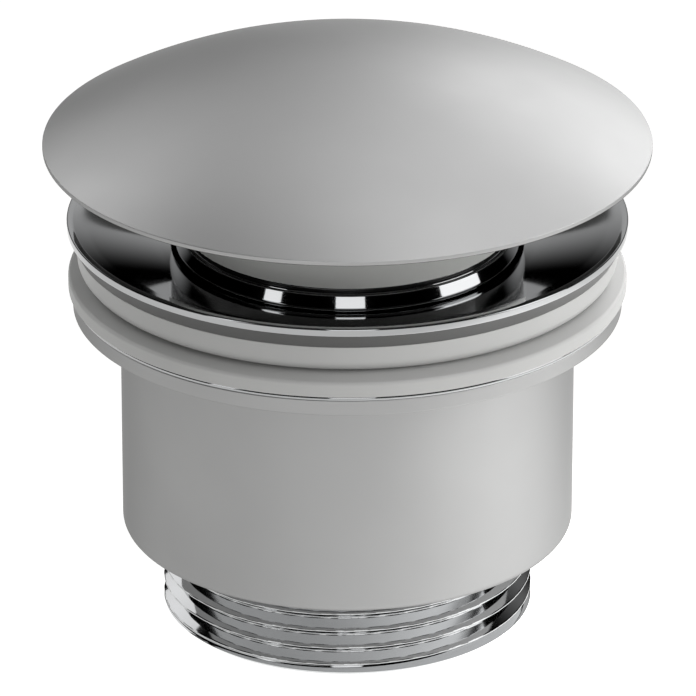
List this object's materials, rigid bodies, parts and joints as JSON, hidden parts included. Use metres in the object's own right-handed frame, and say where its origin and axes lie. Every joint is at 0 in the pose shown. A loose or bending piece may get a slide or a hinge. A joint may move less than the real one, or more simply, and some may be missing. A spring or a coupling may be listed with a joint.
{
  "type": "pop up basin waste",
  "caption": "Basin waste with a domed push plug over a dished flange, clamping gaskets on a round body and a threaded outlet tail, with a latch cartridge inside.",
  "frame": {"origin": "centre of the outlet end of the tail", "axes": "+Z along the waste's axis, from the outlet up to the plug; X and Y square to it"},
  "size_m": [0.068, 0.068, 0.0657],
  "materials": {
    "satin_nickel": "satin nickel plate on brass",
    "polished_chrome": "bright chrome plate on brass",
    "grey_moulding": "fine moulded grey",
    "black_rubber": "black elastomer",
    "dark_rubber": "dark grey elastomer",
    "light_rubber": "light grey elastomer",
    "grey_rubber": "grey elastomer",
    "turned_brass": "turned brass",
    "cast_brass": "cast brass",
    "white_acetal": "white acetal",
    "dark_acetal": "dark acetal",
    "spring_steel": "drawn spring wire"
  },
  "bodies": {
    "waste": {"return_spring": "spring_steel", "cam_sleeve": "white_acetal", "cartridge_housing": "white_acetal", "end_plug": "dark_acetal", "spider": "cast_brass", "shank_washer": "black_rubber", "waste_flange": "polished_chrome", "rim_seal": "dark_rubber", "seat_ring": "light_rubber", "basin_gasket": "grey_rubber", "slip_ring": "polished_chrome", "lower_body": "satin_nickel", "tail_seal": "black_rubber", "threaded_tail": "polished_chrome"},
    "plug": {"plug_cap": "satin_nickel", "plug_boss": "grey_moulding", "boss_gasket": "black_rubber", "plug_cup": "polished_chrome", "lip_seal": "black_rubber", "seal_retainer": "dark_acetal", "push_stem": "turned_brass", "stem_nut": "turned_brass", "stem_washer": "black_rubber"},
    "latch": {"latch_rotor": "white_acetal"}
  },
  "joints": [
    {"name": "plug_slide", "type": "slide", "parent": "waste", "child": "plug", "axis": [0, 0, 1], "range_m": [-0.008, 0], "stiffness_N_per_m": 400, "springref_m": 0.012, "deforming": ["return_spring"]},
    {"name": "latch_turn", "type": "hinge", "parent": "plug", "child": "latch", "pos_m": [0, 0, 0.026], "axis": [0, 0, 1], "range_deg": [-2, 62]}
  ],
  "couplings": [
    {"joint": "latch_turn", "follows": "plug_slide", "rad_per_m": -130.9}
  ]
}
